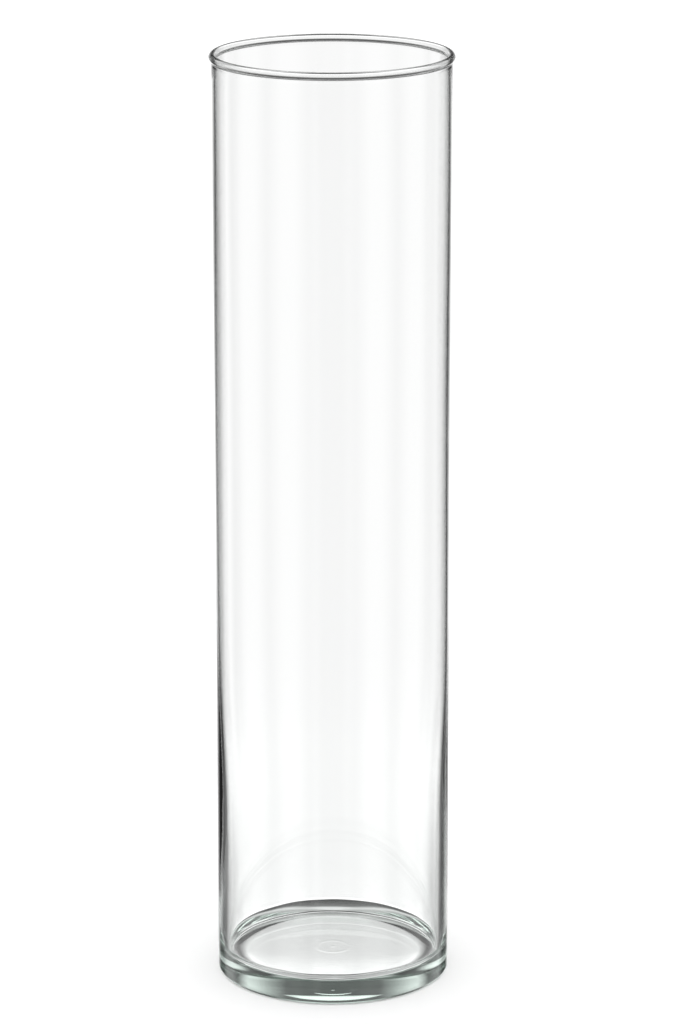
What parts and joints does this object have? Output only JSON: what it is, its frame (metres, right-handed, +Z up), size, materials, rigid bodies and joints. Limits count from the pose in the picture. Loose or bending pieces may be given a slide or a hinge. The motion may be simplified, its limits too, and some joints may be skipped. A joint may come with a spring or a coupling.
{
  "type": "cylinder vase",
  "caption": "Tall straight-sided clear glass cylinder with a beaded rim, thin wall, thick greenish floor and small rounded heel, for holding cut stems, water or a candle.",
  "frame": {"origin": "centre of the base, on the surface that the vase stands on", "axes": "+Z up along the vase's axis, towards the open rim"},
  "size_m": [0.0776, 0.0776, 0.305],
  "materials": {
    "clear_green_glass": "clear soda-lime glass, fire-polished, faintly green where it is thick"
  },
  "bodies": {
    "root": {"vase_body": "clear_green_glass"}
  },
  "joints": []
}
